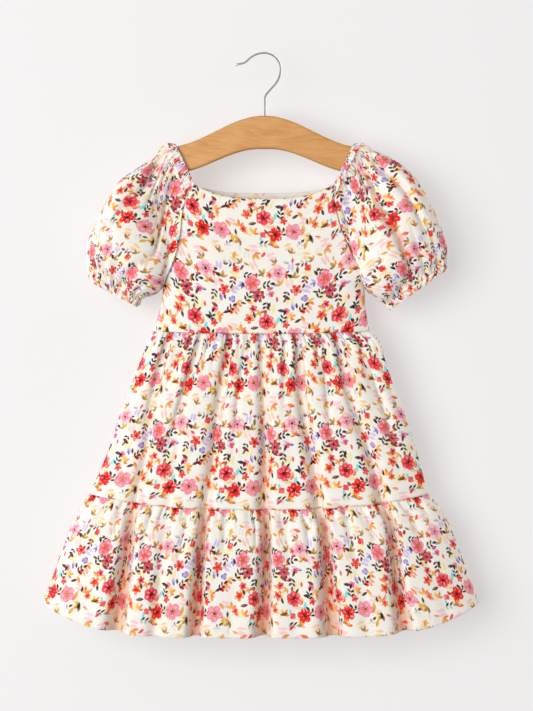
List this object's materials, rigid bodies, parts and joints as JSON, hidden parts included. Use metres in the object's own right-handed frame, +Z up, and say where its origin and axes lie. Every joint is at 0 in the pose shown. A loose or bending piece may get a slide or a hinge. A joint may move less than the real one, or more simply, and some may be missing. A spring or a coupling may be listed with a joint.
{
  "type": "child's puff sleeve dress on a wooden clothes hanger",
  "caption": "Wide-necked dress with raglan puff sleeves and a two-tier gathered skirt, hanging on a wooden hanger with a wire hook.",
  "frame": {"origin": "under the crown of the hanger's hook, where the hook rests on its rail", "axes": "+Z up along the hanging dress, +Y from the front to the back, +X to the viewer's right as the front is looked at"},
  "size_m": [0.567, 0.0893, 0.7549],
  "materials": {
    "printed_cotton": "soft cream cotton with a small flower print",
    "printed_cotton_inside": "the paler reverse of the printed cotton",
    "beech": "satin varnish",
    "bright_wire": "polished"
  },
  "bodies": {
    "root": {"front_bodice": "printed_cotton", "back_bodice": "printed_cotton", "back_neck_casing": "printed_cotton_inside", "shoulder_casing_left": "printed_cotton", "shoulder_casing_right": "printed_cotton", "sleeve_left": "printed_cotton", "sleeve_right": "printed_cotton", "cuff_left": "printed_cotton", "cuff_right": "printed_cotton", "skirt_front": "printed_cotton", "skirt_back": "printed_cotton", "ruffle_front": "printed_cotton", "ruffle_back": "printed_cotton", "hanger_board": "beech", "hanger_hook": "bright_wire"}
  },
  "joints": []
}
